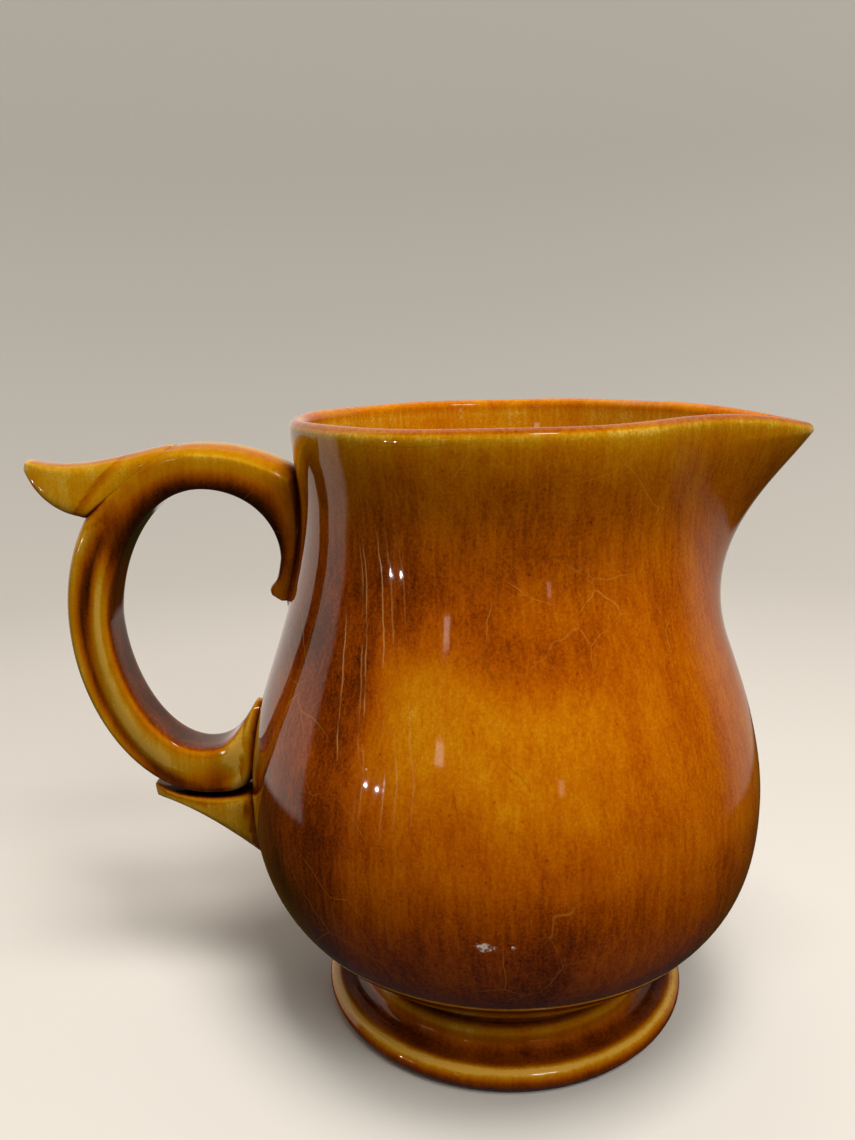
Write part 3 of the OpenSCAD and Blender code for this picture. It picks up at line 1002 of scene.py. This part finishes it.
def chipped(t, point, color):
    """A small flake lost from the lower belly, with a bare dot beside it."""
    reach = 79.5 * MM
    level = 63.4 * MM
    for degrees, wide, tall, edge in CHIPS:
        turn = math.radians(degrees)
        middle = (reach * math.cos(turn), reach * math.sin(turn), level)
        size = (wide * MM, 2 * wide * MM, tall * MM)
        step = t.node("VectorMath", {"operation": "SUBTRACT"}, i0=point, i1=middle).outputs[0]
        unit = t.node("VectorMath", {"operation": "DIVIDE"}, i0=step, i1=size).outputs[0]
        away = t.node("VectorMath", {"operation": "LENGTH"}, i0=unit).outputs["Value"]
        ragged = t.math("MULTIPLY_ADD", t.noise(point, 900, 3, 0.6), 1.6 * edge, away)
        flake = t.ranged(ragged, 1 + 0.2 * edge, 1 + 0.7 * edge, 1, 0)
        mottled = t.ranged(t.noise(point, 1100, 2, 0.6), 0.44, 0.55, 0.1, 1)
        color = t.blend(t.math("MULTIPLY", flake, mottled), color, BARE_CLAY)
    return color


# ---- room -------------------------------------------------------------------------------------


def make_camera():
    """The camera stands in front of the pitcher, above it, and looks down a little."""
    distance = 0.2917
    level = 0.2103
    yaw, pitch, roll = 0.0764, 0.2315, -0.0259  # radians
    ahead = Vector((-math.sin(yaw), math.cos(yaw), 0))
    right = Vector((math.cos(yaw), math.sin(yaw), 0))
    up = Vector((0, 0, 1))
    down_ahead = ahead * math.cos(pitch) - up * math.sin(pitch)
    up_ahead = up * math.cos(pitch) + ahead * math.sin(pitch)
    x_axis = right * math.cos(roll) + up_ahead * math.sin(roll)
    y_axis = up_ahead * math.cos(roll) - right * math.sin(roll)
    data = bpy.data.cameras.new("camera")
    data.sensor_width = 36  # millimetres, like the lens
    data.lens = 30.494
    data.clip_start = 0.01
    camera = bpy.data.objects.new("camera", data)
    turn = Matrix((x_axis, y_axis, -down_ahead)).transposed()
    camera.matrix_world = Matrix.Translation((0, -distance, level)) @ turn.to_4x4()
    bpy.context.scene.collection.objects.link(camera)
    bpy.context.scene.camera = camera


WARM = (1, 0.95, 0.88)
WINDOW = (1, 0.88, 0.72)


def area_light(name, azimuth, elevation, distance, size, power, color, seen=True, shape="RECTANGLE"):
    """A lamp aimed at the pitcher, hidden from the camera. The glaze mirrors it if seen."""
    middle = Vector((0, 0, height * 0.6))
    a, e = math.radians(azimuth), math.radians(elevation)
    away = Vector((math.cos(a) * math.cos(e), math.sin(a) * math.cos(e), math.sin(e)))
    data = bpy.data.lights.new(name, "AREA")
    data.shape = shape
    data.size, data.size_y = size
    data.energy = power
    data.color = color
    light = bpy.data.objects.new(name, data)
    light.location = middle + away * distance
    light.rotation_mode = "QUATERNION"
    light.rotation_quaternion = (-away).to_track_quat("-Z", "Y")
    light.visible_camera = False
    light.visible_glossy = seen
    bpy.context.scene.collection.objects.link(light)


def make_lights():
    """Soft light from above and from both sides that the glaze does not mirror, and a
    panel, two windows and two small lamps that it does."""
    area_light("ceiling", -62, 76, 1.3, (0.5, 0.5), 14, WARM, False)
    area_light("right_fill", -60, 44, 1.3, (0.6, 0.6), 8.5, WARM, False)
    area_light("panel", -60, 52, 1.3, (0.26, 0.12), 1.8, (1, 0.97, 0.93))
    area_light("window_left", -116, 11.5, 1.6, (0.085, 0.09), 0.085, WINDOW)
    area_light("window_right", -65, 5, 1.6, (0.05, 0.10), 0.03, WINDOW)
    area_light("fill_left", -165, 4, 1.3, (0.6, 0.6), 1.3, WARM, False)
    area_light("fill_right", -15, 4, 1.3, (0.6, 0.6), 1.3, WARM, False)
    for i, azimuth in enumerate((-148, -142)):
        area_light(f"small_lamp_{i}", azimuth, 0, 1.6, (0.02, 0.02), 0.34, (1, 0.98, 1), shape="DISK")


def make_world():
    """What the glaze mirrors: pale walls behind and beside the pitcher, a dim room in
    front of it and a dark table below. The camera itself sees one plain pale tone."""
    world = bpy.data.worlds.new("room")
    bpy.context.scene.world = world
    t = Tree(world)
    x, y, z = t.axes(t.node("TexCoord").outputs["Generated"])
    behind = t.ranged(y, 0.02, 0.10)
    right_edge = t.ranged(t.math("MULTIPLY_ADD", x, -0.26, y), -0.10, 0.30)
    above = t.ranged(z, -0.34, -0.30)
    walls = t.blend(t.ranged(x, -0.2, 0.7), (0.74, 0.66, 0.58, 1), (0.40, 0.34, 0.28, 1))
    table = (0.030, 0.030, 0.034, 1)
    dim_room = (0.040, 0.028, 0.006, 1)
    below = t.blend(t.ranged(z, -0.80, -0.60), table, dim_room)
    wall_share = t.math("MULTIPLY", t.math("MULTIPLY", behind, right_edge), above)
    mirrored = t.blend(wall_share, below, walls)
    camera_ray = t.node("LightPath").outputs["Is Camera Ray"]
    seen = t.blend(camera_ray, mirrored, (0.68, 0.62, 0.55, 1))
    t.put(t.nodes["Background"], "Color", seen)


def make_floor():
    """A pale floor that curves up into a wall all round, far from the pitcher."""
    hub, flat, turn, top = 0.02, 0.62, 0.45, 1.1
    outline = [(mix(hub, flat, i / 6), 0.0) for i in range(7)]
    outline += arc(flat, turn, turn, -84, 0, 15)
    outline += [(flat + turn, mix(turn, top, i / 4)) for i in range(1, 5)]
    outline += [(mix(flat + turn, hub, i / 5), top) for i in range(1, 6)]
    sides = 96
    rings = []
    for r, z in outline:
        a = np.arange(sides) * 2 * math.pi / sides
        rings.append(np.column_stack([r * np.cos(a), r * np.sin(a), np.full(sides, z)]))
    floor = skin("floor", rings, (0, 0, 0), (0, 0, top))
    material = bpy.data.materials.new("floor_paint")
    t = Tree(material)
    shader = t.nodes["Principled BSDF"]
    t.put(shader, "Base Color", (0.68, 0.665, 0.64, 1))
    t.put(shader, "Roughness", 0.9)
    t.put(shader, "Specular IOR Level", 0.1)
    floor.data.materials.append(material)
    floor.visible_glossy = False
    floor.visible_diffuse = False
    floor.visible_shadow = False


# ---- the whole ------------------------------------------------------------------------------------


def dress(piece, node, material):
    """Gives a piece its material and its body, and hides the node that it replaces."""
    piece.data.materials.append(material)
    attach(piece, "root")
    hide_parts(node)


def main():
    make_camera()
    make_lights()
    make_world()
    make_floor()
    body, foot, handle = make_body(), make_foot(), make_handle()
    thumb_rest, leaf = make_thumb_rest(), make_lower_leaf()
    spread_slip(body, [handle, leaf], 1.1 * MM, 1.7 * MM)
    spread_slip(thumb_rest, [handle], 0.5 * MM, 1.6 * MM)
    wide, fine = 2.2 * MM, 1.6 * MM
    paint(body, "inner", inside_share(body))
    finish_glaze(body, [handle, leaf, foot], wide, body_tone, dark_below=30 * MM)
    finish_glaze(foot, [body], fine, foot_tone)
    finish_glaze(handle, [body, thumb_rest, leaf], wide, limb_tone)
    finish_glaze(thumb_rest, [handle], wide, leaf_tone)
    finish_glaze(leaf, [handle, body], wide, leaf_tone)
    body_glaze = glaze_material("body_glaze", 0.36, 1.0, BODY_PROFILE_AND_SHADE, worn=1.0, marked=True)
    foot_glaze = glaze_material("foot_glaze", 0.30, 0.7, olive=0.5, coarse=0.6)
    handle_glaze = glaze_material("handle_glaze", 0.27, 0.75, worn=0.25, olive=0.8, coarse=0.55)
    dress(body, "body", body_glaze)
    dress(foot, "foot", foot_glaze)
    dress(handle, "handle", handle_glaze)
    dress(thumb_rest, "thumb_rest", handle_glaze)
    dress(leaf, "lower_leaf", handle_glaze)


main()
bpy.context.scene.view_settings.view_transform = "Standard"
